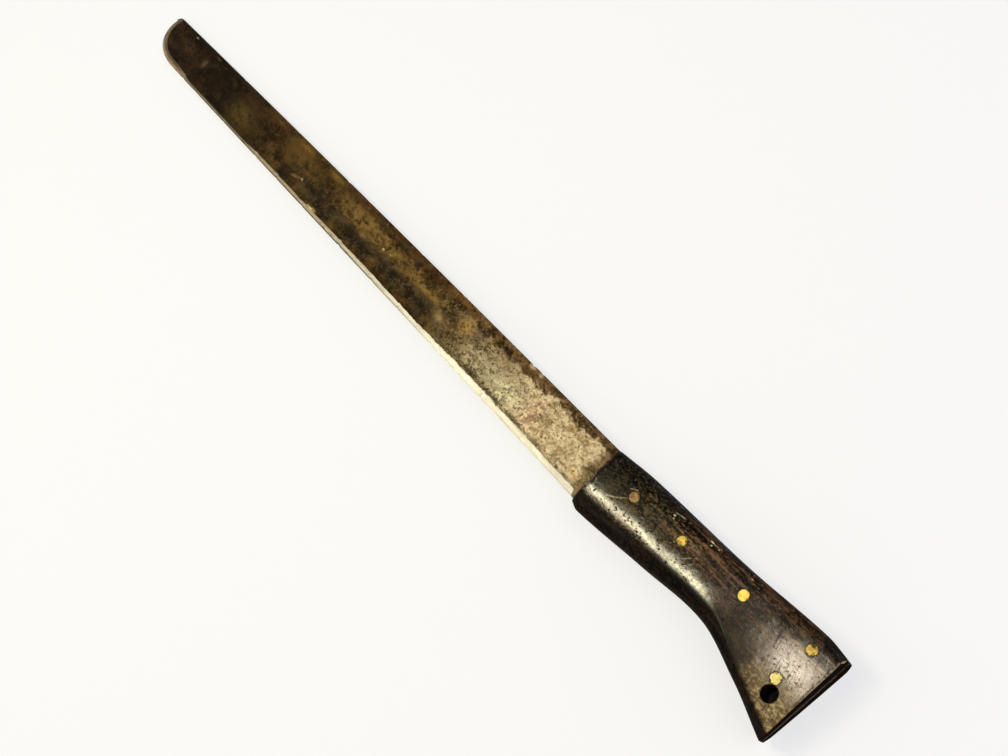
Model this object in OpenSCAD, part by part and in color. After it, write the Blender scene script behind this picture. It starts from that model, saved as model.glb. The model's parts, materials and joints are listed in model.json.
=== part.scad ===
// Old farm machete: a straight square-nosed blade with a full tang, two grip
// scales and five brass rivets. Millimetres. The part lies flat, with the origin
// at the centre of the lanyard hole, halfway through the tang: +X runs to the tip,
// +Y towards the cutting edge and +Z out of the near grip scale.

/* [Blade] */
// Length of the blade, from the front of the grip to the tip of its spine
blade_length = 358; // [250:1:560]
// Width of the blade at the grip, spine to edge
heel_width = 28; // [25:0.1:28.4]
// Width of the blade where the nose curve begins
nose_width = 22.1; // [18:0.1:27]
// Bow of the spine, outwards from a straight line between its ends
spine_bow = 0.5; // [0:0.1:2]
// Thickness of the steel at the grip and all along the tang
heel_thickness = 3; // [2:0.1:4]
// Thickness of the steel at the nose
nose_thickness = 2; // [1.2:0.1:2.6]
// Width of the ground bevel on each side of the edge
bevel_width = 3; // [1.5:0.1:4.5]
// Thickness left at the cutting edge
edge_thickness = 0.3; // [0.1:0.05:0.6]
// Length of the unsharpened heel in front of the grip
heel_flat = 2; // [1:0.5:10]
// Length over which the bevel sweeps out to its full width
bevel_sweep = 4; // [2:0.5:12]

/* [Nose] */
// Length of the curve between the spine corner and the straight edge
nose_run = 20; // [14:0.5:30]
// How far the curve is pulled out beyond the spine corner, on the spine side
nose_bulge = 4; // [0:0.5:8]
// How far up the nose that pull lies
nose_lift = 7; // [4:0.5:11]
// How far the curve is pulled out beyond the spine corner, on the edge side
nose_corner = 2.5; // [-6:0.5:4]

/* [Grip] */
// Length of the grip
grip_length = 127; // [115:1:160]
// Thickness over both scales and the tang
grip_thickness = 19; // [16:0.5:24]
// Thickness over both scales at the front end of the grip
front_thickness = 14; // [12:0.5:16]
// Distance from the front over which the grip thickens
thicken_run = 42; // [25:1:60]
// Width of the grip at its front end
front_width = 29.3; // [28.8:0.1:32]
// Width of the grip at the swell behind the front end
swell_width = 31.2; // [29:0.1:36]
// Width of the grip at its waist
waist_width = 28.2; // [26:0.1:31]
// Width of the grip at the butt
butt_width = 45.6; // [40:0.1:52]
// Distance from the front to the swell on the edge side
swell_at = 4.5; // [3:0.5:14]
// Distance from the front to the waist
waist_at = 76; // [66:1:84]
// Distance from the butt to the start of the beak's straight side
beak_run = 25; // [18:0.5:28]
// Rise of the beak's straight side for each millimetre along it
beak_slope = 0.36; // [0.2:0.01:0.5]
// Height of the grip's back above the blade's spine, at the front
back_front = 0.3; // [0.3:0.1:1]
// Height of the grip's back above the blade's spine, at the waist
back_waist = 3.2; // [1:0.1:5]
// Height of the grip's back above the blade's spine, at the butt rivets
back_butt = 5.6; // [4:0.1:8]
// Drop of the back from the butt rivets to the butt corner
back_drop = 1.2; // [0:0.1:2]

// Angle by which the butt is cut out of square on the near face
near_slant = 2; // [0:0.5:6]
// Angle by which the butt is cut out of square on the far face
far_slant = 4; // [0:0.5:6]

/* [Grip edges] */
// Roundness of the front grip on the edge side, measured across the face
belly_round = 13; // [9:0.5:14]
// Roundness of the front grip on the back, measured across the face
back_round = 8; // [5:0.5:8.5]
// Width of the chamfer round the butt on the edge side
belly_chamfer = 3.8; // [2:0.1:5]
// Width of the chamfer round the butt on the back
back_chamfer = 3.3; // [2:0.1:4.5]
// Depth of the chamfer round the butt
chamfer_depth = 3; // [1.5:0.1:5]
// Radius of the rounded front end
front_edge_r = 1.8; // [0.6:0.1:3]
// Radius of the broken edge round the butt face
butt_edge_r = 0.7; // [0.3:0.1:1.5]
// How far the tang lies inside the outline of the scales
tang_inset = 0.2; // [0.1:0.05:0.6]

/* [Lanyard hole] */
// Diameter of the lanyard hole
hole_d = 7.3; // [6:0.1:8.5]
// Distance of the hole's centre from the butt face
hole_from_butt = 11; // [9:0.1:14]
// Distance of the hole's centre from the line of the blade's spine
hole_from_spine = 25.6; // [23:0.1:28]

/* [Rivets] */
// Diameter of the rivets' shanks
shank_d = 4.4; // [3.5:0.1:5]
// Diameter of the rivets' spread ends
head_d = 4.9; // [4.2:0.1:5.6]
// Depth of the cone that each end is spread into
flare_depth = 0.9; // [0.5:0.1:1.5]
// How far the rivets' ends lie below the faces of the scales
head_sink = 0.15; // [0.1:0.05:0.4]
// Distance of the front rivet from the front of the grip
front_rivet_at = 20.8; // [14:0.2:28]
// Distance of the front rivet from the back of the grip
front_rivet_in = 11.4; // [10:0.1:14]
// Distance of the second rivet from the front of the grip
fore_rivet_at = 48.9; // [38:0.2:56]
// Distance of the second rivet from the back of the grip
fore_rivet_in = 10.9; // [10:0.1:14]
// Distance of the third rivet from the front of the grip
mid_rivet_at = 82.2; // [72:0.2:90]
// Distance of the third rivet from the back of the grip
mid_rivet_in = 9.7; // [9:0.1:14]
// Distance of the butt rivet near the back from the butt face
butt_rivet_at = 11.3; // [8:0.1:16]
// Distance of the butt rivet near the back from the back of the grip
butt_rivet_in = 8.2; // [7.6:0.1:12]
// Material left between the lanyard hole and the rivet beside it
hole_web = 0.15; // [0.15:0.05:1]
// Direction from the lanyard hole to the rivet beside it, in degrees from +X
beside_hole_angle = -69; // [-100:1:-50]

/* [Fits] */
// Clearance all round each rivet
rivet_gap = 0.05; // [0.02:0.01:0.15]

/* [Hidden] */
$fn = 48;

steel = [0.30, 0.25, 0.17];
horn = [0.09, 0.07, 0.05];
brass = [0.85, 0.70, 0.35];

grip_front = grip_length - hole_from_butt;
spine_y = -hole_from_spine;
half_grip = grip_thickness / 2;
half_tang = heel_thickness / 2;
hole_r = hole_d / 2;
shank_r = shank_d / 2;
head_r = head_d / 2;
beside_hole_reach = hole_r + head_r + rivet_gap + hole_web;
cut_extra = 2;

// Outline of the grip, as heights above the line of the spine at distances
// behind its front: the back rises and the edge side swells, narrows and flares
beak_start = grip_length - beak_run;
butt_edge = butt_width - back_butt + back_drop;

// The back rises most of the way to its waist in its first stretch, and the
// edge side is just past half of its way down midway between swell and waist
rise_at = 0.16 * grip_length;
rise_share = 0.6;
belly_midway = 0.5;
belly_share = 0.55;

back_keys = [[0, back_front], [rise_at, mix(back_front, back_waist, rise_share)],
             [waist_at, back_waist], [grip_length - butt_rivet_at, back_butt],
             [grip_length, back_butt - back_drop]];
swell_edge = swell_width - through(back_keys, swell_at);
waist_edge = waist_width - back_waist;
belly_keys = [[0, front_width - back_front], [swell_at, swell_edge],
              [mix(swell_at, waist_at, belly_midway), mix(swell_edge, waist_edge, belly_share)],
              [waist_at, waist_edge],
              [beak_start, butt_edge - beak_slope * beak_run],
              [grip_length, butt_edge]];

// Where the grip changes from a rounded section to a flat face with chamfers
round_until = 0.42 * grip_length;
flat_from = 0.8 * grip_length;
round_power = 2;
chamfer_power = 1.3;
least_wall = 0.5;

arc_steps = 9;
spine_steps = 12;
nose_steps = 14;
tang_steps = 26;
sweep_steps = 4;

function mix(a, b, t) = a + (b - a) * t;
function ease(t) = let (c = min(1, max(0, t))) c * c * (3 - 2 * c);

// Height at distance d of a smooth curve through the keys
function key_slope(keys, i) =
    let (a = keys[max(0, i - 1)], b = keys[min(len(keys) - 1, i + 1)])
    (b.y - a.y) / (b.x - a.x);
function through(keys, d, i = 0) =
    i < len(keys) - 2 && d > keys[i + 1].x ? through(keys, d, i + 1) :
    let (a = keys[i], b = keys[i + 1], w = b.x - a.x, t = (d - a.x) / w)
    a.y * (1 + 2 * t) * pow(1 - t, 2) + b.y * (3 - 2 * t) * pow(t, 2)
    + w * t * (1 - t) * (key_slope(keys, i) * (1 - t) - key_slope(keys, i + 1) * t);

// Outline, thickness and edge rounding of the grip at distance d behind its front
function back_y(d) = spine_y - through(back_keys, d);
function belly_y(d) = spine_y + through(belly_keys, d);
function flatness(d) = ease((d - round_until) / (flat_from - round_until));
function quarter_drop(r, u) = u >= r ? 0 : r - sqrt(r * r - pow(r - u, 2));
function face_z(d) =
    mix(front_thickness / 2, half_grip, ease(d / thicken_run))
    - quarter_drop(front_edge_r, d) - quarter_drop(butt_edge_r, grip_length - d);
function round_depth(d) =
    min(mix(half_grip - half_tang - least_wall, chamfer_depth, flatness(d)),
        face_z(d) - half_tang - least_wall);
function end_draw(d) = quarter_drop(butt_edge_r, grip_length - d);

// Shift towards the tip that cuts the butt out of square, measured from its back corner
function lean(d, y, z) =
    ease((d - flat_from) / (grip_length - flat_from))
    * tan(mix(far_slant, near_slant, (z / half_grip + 1) / 2)) * (y - spine_y);

// Section of a scale at distance d: a ring from the back, over the face, to the edge side
function corner(d, reach, k) =
    let (p = mix(round_power, chamfer_power, flatness(d)), a = 90 * k / arc_steps)
    [reach * (1 - pow(cos(a), 2 / p)), -round_depth(d) * (1 - pow(sin(a), 2 / p))];
function section(d) =
    let (z = face_z(d), low = back_y(d) + end_draw(d), high = belly_y(d) - end_draw(d),
         back = mix(back_round, back_chamfer, flatness(d)),
         belly = mix(belly_round, belly_chamfer, flatness(d)))
    concat([[low, half_tang]],
           [for (k = [0:arc_steps]) let (c = corner(d, back, k)) [low + c.x, z + c.y]],
           [for (k = [arc_steps:-1:0]) let (c = corner(d, belly, k)) [high - c.x, z + c.y]],
           [[high, half_tang]]);

// Distances of the sections: close together round both ends, even between them
body_steps = 34;
end_step = 18;
front_stations = [for (a = [0:end_step:90 - end_step]) front_edge_r * (1 - cos(a))];
body_stations = [for (i = [0:body_steps])
                    mix(front_edge_r, grip_length - butt_edge_r, i / body_steps)];
butt_stations = [for (a = [end_step:end_step:90]) grip_length - butt_edge_r * (1 - sin(a))];
stations = concat(front_stations, body_stations, butt_stations);

// One scale as a loft through its sections, above the tang; side is 1 for the
// near scale and -1 for the far one, which is mirrored into place afterwards
module scale_loft(side) {
    rings = [for (d = stations)
                [for (s = section(d))
                    [grip_front - d + lean(d, s.x, side * s.y), s.x, s.y]]];
    count = len(rings[0]);
    last = len(rings) - 1;
    points = [for (ring = rings) each ring];
    sides = [for (i = [0:last - 1], j = [0:count - 1])
                let (a = i * count + j, b = i * count + (j + 1) % count)
                each [[a, b + count, b], [a, a + count, b + count]]];
    caps = [for (j = [0:count / 2 - 2])
               let (k = count - 1 - j, butt = last * count)
               each [[j, j + 1, k - 1], [j, k - 1, k],
                     [butt + j, butt + k - 1, butt + j + 1], [butt + j, butt + k, butt + k - 1]]];
    polyhedron(points, concat(sides, caps), convexity = 4);
}

// Places of the rivets, each with the height of the face there
function rivet_place(at, inset) =
    [grip_front - at, back_y(at) + inset, face_z(at) - head_sink];
front_rivet = rivet_place(front_rivet_at, front_rivet_in);
fore_rivet = rivet_place(fore_rivet_at, fore_rivet_in);
mid_rivet = rivet_place(mid_rivet_at, mid_rivet_in);
butt_rivet = rivet_place(grip_length - butt_rivet_at, butt_rivet_in);
beside_hole_rivet = [beside_hole_reach * cos(beside_hole_angle),
                     beside_hole_reach * sin(beside_hole_angle), half_grip - head_sink];
rivet_places = [front_rivet, fore_rivet, mid_rivet, butt_rivet, beside_hole_rivet];

// Half profile of a rivet: a plain shank spread into a cone at both ends
module rivet(place) {
    z = place.z;
    color(brass)
        translate([place.x, place.y, 0])
            rotate_extrude()
                polygon([[0, -z], [head_r, -z], [shank_r, flare_depth - z],
                         [shank_r, z - flare_depth], [head_r, z], [0, z]]);
}

// Holes for the rivets and the lanyard, right through the grip
module rivet_hole(place) {
    z = place.z;
    bore = shank_r + rivet_gap;
    mouth = head_r + rivet_gap;
    top = z + cut_extra;
    translate([place.x, place.y, 0])
        rotate_extrude()
            polygon([[0, -top], [mouth, -top], [mouth, -z], [bore, flare_depth - z],
                     [bore, z - flare_depth], [mouth, z], [mouth, top], [0, top]]);
}
module lanyard_hole() {
    cylinder(r = hole_r, h = grip_thickness + 2 * cut_extra, center = true);
}
module grip_holes() {
    for (place = rivet_places) rivet_hole(place);
    lanyard_hole();
}

// Blade: half thickness of the steel at x, and the outline with its bevel.
// Each outline point is [x, y, outward x, outward y, width of the bevel there].
tip_x = grip_front + blade_length;
function half_steel(x) =
    mix(half_tang, nose_thickness / 2, max(0, x - grip_front) / blade_length);

edge_start = [grip_front, spine_y + heel_width];
edge_end = [tip_x - nose_run, spine_y + nose_width];
edge_way = (edge_start - edge_end) / norm(edge_start - edge_end);
function edge_point(x) = edge_start + edge_way * (x - edge_start.x) / edge_way.x;

spine_outline = [for (i = [0:spine_steps - 1])
                    let (t = i / spine_steps)
                    [mix(grip_front, tip_x, t), spine_y - 4 * spine_bow * t * (1 - t), 0, -1, 0]];

nose_pull = [[tip_x, spine_y],
             [tip_x + nose_bulge, spine_y + nose_lift],
             edge_end - edge_way * (nose_run + nose_corner),
             edge_end];
function nose_point(t) =
    pow(1 - t, 3) * nose_pull[0] + 3 * t * pow(1 - t, 2) * nose_pull[1]
    + 3 * pow(t, 2) * (1 - t) * nose_pull[2] + pow(t, 3) * nose_pull[3];
function nose_direction(t) =
    let (v = pow(1 - t, 2) * (nose_pull[1] - nose_pull[0])
             + 2 * t * (1 - t) * (nose_pull[2] - nose_pull[1])
             + pow(t, 2) * (nose_pull[3] - nose_pull[2]))
    v / norm(v);
nose_outline = [for (i = [0:nose_steps])
                   let (t = i / nose_steps, p = nose_point(t), v = nose_direction(t))
                   [p.x, p.y, v.y, -v.x, bevel_width * ease(4 * t)]];

sweep_outline = [for (i = [sweep_steps:-1:0])
                    let (t = i / sweep_steps,
                         p = edge_point(grip_front + heel_flat + bevel_sweep * t))
                    [p.x, p.y, edge_way.y, -edge_way.x, bevel_width * ease(t)]];

// The heel steps in to the outline of the tang just behind the front of the grip
tang_start = 0.5;
tang_distances = [for (i = [0:tang_steps])
                     mix(tang_start, grip_length - tang_inset, i / tang_steps)];
back_outline = [for (i = [tang_steps:-1:0])
                   let (d = tang_distances[i], y = back_y(d) + tang_inset)
                   [grip_front - d + lean(d, y, 0), y, 0, -1, 0]];
belly_outline = [for (d = tang_distances)
                    let (y = belly_y(d) - tang_inset)
                    [grip_front - d + lean(d, y, 0), y, 0, 1, 0]];
heel_edge = [edge_start.x, edge_start.y, 0, 1, 0];
blade_outline = concat(spine_outline, nose_outline, sweep_outline, [heel_edge]);
steel_outline = concat(blade_outline, belly_outline, back_outline);

// The blade and tang as one forging: four loops of the outline joined by strips,
// with the bevel between the inner loops and the edge
module steel_body() {
    count = len(steel_outline);
    split = len(blade_outline);
    inner = [for (o = steel_outline) [o[0] - o[4] * o[2], o[1] - o[4] * o[3]]];
    points = concat([for (p = inner) [p.x, p.y, -half_steel(p.x)]],
                    [for (o = steel_outline) [o[0], o[1], -edge_thickness / 2]],
                    [for (o = steel_outline) [o[0], o[1], edge_thickness / 2]],
                    [for (p = inner) [p.x, p.y, half_steel(p.x)]]);
    strips = [for (loop = [0:2], i = [0:count - 1])
                 let (a = loop * count + i, b = loop * count + (i + 1) % count)
                 each [[a, b + count, b], [a, a + count, b + count]]];
    top = 3 * count;
    blade_face = [for (i = [0:split - 1]) i];
    tang_face = concat([0], [for (i = [split - 1:count - 1]) i]);
    upper = [[for (i = [split - 1:-1:0]) top + blade_face[i]],
             [for (i = [len(tang_face) - 1:-1:0]) top + tang_face[i]]];
    polyhedron(points, concat(strips, upper, [blade_face, tang_face]), convexity = 4);
}

module blade() {
    color(steel)
        difference() {
            steel_body();
            grip_holes();
        }
}

module grip_scale_near() {
    color(horn)
        difference() {
            scale_loft(1);
            grip_holes();
        }
}

module grip_scale_far() {
    color(horn)
        difference() {
            mirror([0, 0, 1]) scale_loft(-1);
            grip_holes();
        }
}

module rivet_front() { rivet(front_rivet); }
module rivet_fore_grip() { rivet(fore_rivet); }
module rivet_mid_grip() { rivet(mid_rivet); }
module rivet_butt_back() { rivet(butt_rivet); }
module rivet_beside_hole() { rivet(beside_hole_rivet); }

blade();
grip_scale_near();
grip_scale_far();
rivet_front();
rivet_fore_grip();
rivet_mid_grip();
rivet_butt_back();
rivet_beside_hole();
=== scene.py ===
# Old farm machete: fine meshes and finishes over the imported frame
import json
import math

import bmesh
import bpy
import numpy as np
from mathutils import Matrix, Quaternion, Vector, noise


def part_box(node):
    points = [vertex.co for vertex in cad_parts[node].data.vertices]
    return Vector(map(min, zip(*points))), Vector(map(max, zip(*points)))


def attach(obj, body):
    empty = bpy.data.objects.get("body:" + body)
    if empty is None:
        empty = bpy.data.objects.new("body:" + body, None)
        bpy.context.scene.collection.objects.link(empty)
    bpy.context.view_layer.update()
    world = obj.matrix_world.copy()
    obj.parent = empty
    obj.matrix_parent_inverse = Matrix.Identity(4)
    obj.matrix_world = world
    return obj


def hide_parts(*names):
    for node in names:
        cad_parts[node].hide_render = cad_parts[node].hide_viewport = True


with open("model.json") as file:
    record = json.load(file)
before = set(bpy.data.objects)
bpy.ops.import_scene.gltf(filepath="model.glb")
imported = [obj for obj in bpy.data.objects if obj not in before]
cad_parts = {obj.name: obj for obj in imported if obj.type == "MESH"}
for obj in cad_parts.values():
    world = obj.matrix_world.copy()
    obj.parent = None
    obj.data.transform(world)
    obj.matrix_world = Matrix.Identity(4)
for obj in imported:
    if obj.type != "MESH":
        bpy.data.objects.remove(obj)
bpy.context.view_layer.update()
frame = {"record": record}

MM = 0.001

# Sizes in millimetres. The frame gives what can be measured on its nodes


def box_mm(node):
    """Lowest and highest corner of a CAD node, in millimetres."""
    low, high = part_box(node)
    return np.array(low) / MM, np.array(high) / MM


near_low, near_high = box_mm("grip_scale_near")
grip_front = near_high[0]
half_grip = near_high[2]
half_tang = near_low[2]

grip_length = 127
front_thickness = 14
half_front = front_thickness / 2
thicken_run = 42
hole_from_spine = 25.6
spine_y = -hole_from_spine
blade_length = 358
tip_x = grip_front + blade_length

heel_width = 28
nose_width = 22.1
spine_bow = 0.5
nose_half = 1.0
edge_half = 0.15
bevel_at_heel = 3.1
BEVEL_CHANGES = [(198, 50, 2.3), (270, 130, 1.8), (436, 20, 3.4)]  # start, run, width after it
heel_flat = 2.2
bevel_sweep = 1.4
nose_run = 20
nose_bulge = 4
nose_lift = 7
nose_corner = 2.5
spine_corner = 2.2
nose_start = tip_x - nose_run
HEEL = np.array([grip_front, spine_y + heel_width])
EDGE_END = np.array([nose_start, spine_y + nose_width])

front_width = 29.3
swell_width = 31.2
waist_width = 28.2
butt_width = 45.6
swell_at = 4.5
waist_at = 76
beak_run = 25
beak_slope = 0.36
back_front = 0.3
back_waist = 3.2
back_butt = 5.6
back_drop = 1.2
butt_rivet_at = 11.3
near_slant = 2
far_slant = 4

belly_round = 13
belly_fuller = 0.5  # added to the power of the round, in the middle of the grip
fuller_run = 38
back_round = 8
belly_chamfer = 3.8
back_chamfer = 3.3
chamfer_depth = 3
front_edge_r = 1.8
butt_edge_r = 0.7
least_wall = 0.5
tang_inset = 0.2
tang_start = 0.5
rivet_gap = 0.05
flare_depth = 0.9
crown_y = 0.28  # how far the cheeks fall off across and along the grip
crown_x = 0.12
crown_middle = (2, -12)
crown_reach = 14
wear_waves = 0.07  # depth of the horn's broad and fine wear
wear_pits = 0.03
trim = 0.03  # the finer curves stay this far inside the CAD ones

hole_r = frame["record"]["mounts"][0]["dims"]["r_mm"]

# Each rivet: bright and dull tones, share of the head under grime, dark spot (x, y, strength),
# height of the dome, unevenness
RIVET_LOOKS = {
    "rivet_front": ((176, 140, 90), (126, 97, 60), 0.36, (0.6, 0.5, 0.5), 0.3, 0.06),
    "rivet_fore_grip": ((236, 202, 100), (146, 114, 48), 0.42, (-0.4, 1.6, 0.4), 0.8, 0.14),
    "rivet_mid_grip": ((255, 228, 110), (246, 208, 88), 0.06, (1.4, 1.2, 0.2), 0.6, 0.03),
    "rivet_butt_back": ((224, 190, 98), (160, 126, 60), 0.2, (0.5, -1.5, 0.9), 0.7, 0.06),
    "rivet_beside_hole": ((244, 228, 150), (214, 194, 116), 0.08, (0, 0, 0), 0.3, 0.02),
}


def mix(a, b, t):
    """From a to b at the share t."""
    return a + (b - a) * t


def ease(t):
    """Smooth step from 0 to 1."""
    c = np.clip(t, 0, 1)
    return c * c * (3 - 2 * c)


def through(keys, d):
    """Height at distance d of a smooth curve through the keys."""
    at, height = np.array(keys, float).T
    slope = np.gradient(height, at)
    slope[1:-1] = (height[2:] - height[:-2]) / (at[2:] - at[:-2])
    i = np.clip(np.searchsorted(at, d) - 1, 0, len(at) - 2)
    w = at[i + 1] - at[i]
    t = (d - at[i]) / w
    return (
        height[i] * (1 + 2 * t) * (1 - t) ** 2
        + height[i + 1] * (3 - 2 * t) * t**2
        + w * t * (1 - t) * (slope[i] * (1 - t) - slope[i + 1] * t)
    )


# Outline of the grip: the back rises and the edge side swells, narrows and flares
butt_edge = butt_width - back_butt + back_drop
back_keys = [
    (0, back_front),
    (0.16 * grip_length, mix(back_front, back_waist, 0.6)),
    (waist_at, back_waist),
    (grip_length - butt_rivet_at, back_butt),
    (grip_length, back_butt - back_drop),
]
swell_edge = swell_width - through(back_keys, swell_at)
waist_edge = waist_width - back_waist
belly_keys = [
    (0, front_width - back_front),
    (swell_at, swell_edge),
    (mix(swell_at, waist_at, 0.5), mix(swell_edge, waist_edge, 0.55)),
    (waist_at, waist_edge),
    (grip_length - beak_run, butt_edge - beak_slope * beak_run),
    (grip_length, butt_edge),
]
round_until = 0.42 * grip_length
flat_from = 0.8 * grip_length
round_power = 2
chamfer_power = 1.3


def back_y(d):
    return spine_y - through(back_keys, d)


def belly_y(d):
    return spine_y + through(belly_keys, d)


def flatness(d):
    return ease((d - round_until) / (flat_from - round_until))


def quarter_drop(r, u):
    """Drop of a quarter round of radius r at distance u from its outer end."""
    inside = np.clip(r - u, 0, r)
    return r - np.sqrt(r * r - inside**2)


def face_z(d):
    """Height of a scale's face over the tang's middle."""
    thickness = mix(half_front, half_grip, ease(d / thicken_run))
    return thickness - quarter_drop(front_edge_r, d) - quarter_drop(butt_edge_r, grip_length - d)


def lean(d, y, z):
    """Shift towards the tip that cuts the butt out of square."""
    slant = mix(far_slant, near_slant, (z / half_grip + 1) / 2)
    grown = ease((d - flat_from) / (grip_length - flat_from))
    return grown * np.tan(np.radians(slant)) * (y - spine_y)


def grain(points, size, octaves, seed):
    """Fractal noise, about -1 to 1, at each point; size is that of its largest lumps."""
    shift = Vector((seed * 17.3, seed * 5.7, seed * 9.1))
    flat = points.reshape(-1, 3) / size
    values = [noise.fractal(Vector(p) + shift, 1.0, 2.0, octaves) for p in flat]
    return np.array(values).reshape(points.shape[:-1])


# Mesh making


def make_object(name, points, faces, marks=None):
    """A mesh object from points in millimetres; marks are values kept on its points."""
    mesh = bpy.data.meshes.new(name)
    mesh.from_pydata((np.asarray(points) * MM).tolist(), [], faces)
    for label, values in (marks or {}).items():
        attribute = mesh.attributes.new(label, "FLOAT", "POINT")
        attribute.data.foreach_set("value", np.asarray(values, np.float32))
    made = bpy.data.objects.new(name, mesh)
    bpy.context.scene.collection.objects.link(made)
    return made


def loft(name, upper, lower, marks, lead=0, tail=0):
    """A closed skin over sections, each an upper path of m points and a lower one of m - 2.

    The caps are fans over the first lead and the last tail rows, which may stand in line
    with the outermost, and quads between them.
    """
    rings = np.concatenate([upper, lower[:, ::-1]], axis=1)
    sections, count = rings.shape[:2]
    m = upper.shape[1]
    faces = []
    for i in range(sections - 1):
        a = i * count
        b = a + count
        for j in range(count):
            k = (j + 1) % count
            faces.append((a + j, a + k, b + k, b + j))
    first, last = 1 + lead, m - 2 - tail
    start = list(range(first, -1, -1)) + list(range(count - 1, count - first - 1, -1))
    end = list(range(last, count - last + 1))
    for base in (0, (sections - 1) * count):
        top = base + count
        faces += [(base + j, base + j + 1, top - j - 1, top - j) for j in range(first, last)]
        for fan in (start, end):
            faces += [(base + fan[0], base + a, base + b) for a, b in zip(fan[1:], fan[2:])]
    values = {}
    for label, (on_upper, on_lower) in marks.items():
        values[label] = np.concatenate([on_upper, on_lower[:, ::-1]], axis=1).ravel()
    made = make_object(name, rings.reshape(-1, 3), faces, values)
    face_out(made)
    return made


def face_out(made):
    """Turns every face outwards."""
    work = bmesh.new()
    work.from_mesh(made.data)
    bmesh.ops.recalc_face_normals(work, faces=work.faces)
    work.to_mesh(made.data)
    work.free()


def crease(made, limit):
    """Joins doubled points; the smooth shading breaks at edges over limit, in degrees."""
    work = bmesh.new()
    work.from_mesh(made.data)
    bmesh.ops.remove_doubles(work, verts=work.verts, dist=1e-7)
    for face in work.faces:
        face.smooth = True
    for edge in work.edges:
        edge.smooth = edge.calc_face_angle(0) < math.radians(limit)
    work.to_mesh(made.data)
    work.free()


def turned(centre, half, steps, wobble=0.0, seed=0):
    """Points and faces of a solid turned about Z, alike above and below its middle.

    half is the upper half's profile of (radius, height), which ends at the pole.
    """
    inner = [(r, -z) for r, z in reversed(half[:-1])] + half[:-1]
    pole = half[-1][1]
    angles = np.arange(steps) * 2 * math.pi / steps
    points = [(centre[0], centre[1], -pole)]
    for radius, z in inner:
        ring = np.stack([np.cos(angles), np.sin(angles), np.full(steps, z)], axis=1)
        rough = 1 + wobble * grain(ring * [2, 2, 1], 1.0, 3, seed)
        ring[:, :2] *= (radius * rough)[:, None]
        points += [(centre[0] + x, centre[1] + y, z) for x, y, z in ring]
    points.append((centre[0], centre[1], pole))
    last = len(points) - 1
    faces = []
    for j in range(steps):
        k = (j + 1) % steps
        faces.append((0, 1 + k, 1 + j))
        faces.append((last, last - steps + j, last - steps + k))
        for i in range(len(inner) - 1):
            a = 1 + i * steps
            faces.append((a + j, a + k, a + steps + k, a + steps + j))
    return points, faces


def cut(made, cutter):
    """Takes the cutter out of a piece, and deletes it."""
    step = made.modifiers.new("cut", "BOOLEAN")
    step.operation = "DIFFERENCE"
    step.solver = "EXACT"
    step.object = cutter
    scene = bpy.context.evaluated_depsgraph_get()
    result = bpy.data.meshes.new_from_object(made.evaluated_get(scene))
    made.modifiers.clear()
    made.data = result
    bpy.data.objects.remove(cutter)


# Rivets: places and sizes from their CAD nodes


def rivet_facts(node):
    """A rivet's centre, the radius of its head and the height of its top."""
    low, high = box_mm(node)
    return ((low + high) / 2).tolist(), float(high[0] - low[0]) / 2, float(high[2])


shank_r = 2.2
cutter_reach = half_grip + 1


def rivet_bore(node):
    """Points and faces of a cutter: a rivet's bore, which opens in a cone at both ends."""
    centre, head_r, top = rivet_facts(node)
    bore = shank_r + rivet_gap
    mouth = head_r + rivet_gap
    half = [(bore, top - flare_depth), (mouth, top), (mouth, cutter_reach), (0, cutter_reach)]
    return turned(centre, half, 48)


def lanyard_bore():
    """Cutter for the lanyard hole, with its worn mouths."""
    worn = 0.35
    half = [(hole_r, half_grip - worn), (hole_r + worn + 1, cutter_reach), (0, cutter_reach)]
    return turned((0, 0, 0), half, 72)


def cut_bores(made):
    """Opens the five rivet bores at once, then the lanyard hole."""
    points, faces = [], []
    for node in RIVET_LOOKS:
        more_points, more_faces = rivet_bore(node)
        faces += [tuple(len(points) + i for i in face) for face in more_faces]
        points += more_points
    cut(made, make_object("rivet_bores", points, faces))
    cut(made, make_object("lanyard_bore", *lanyard_bore()))


# Grip scales


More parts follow.
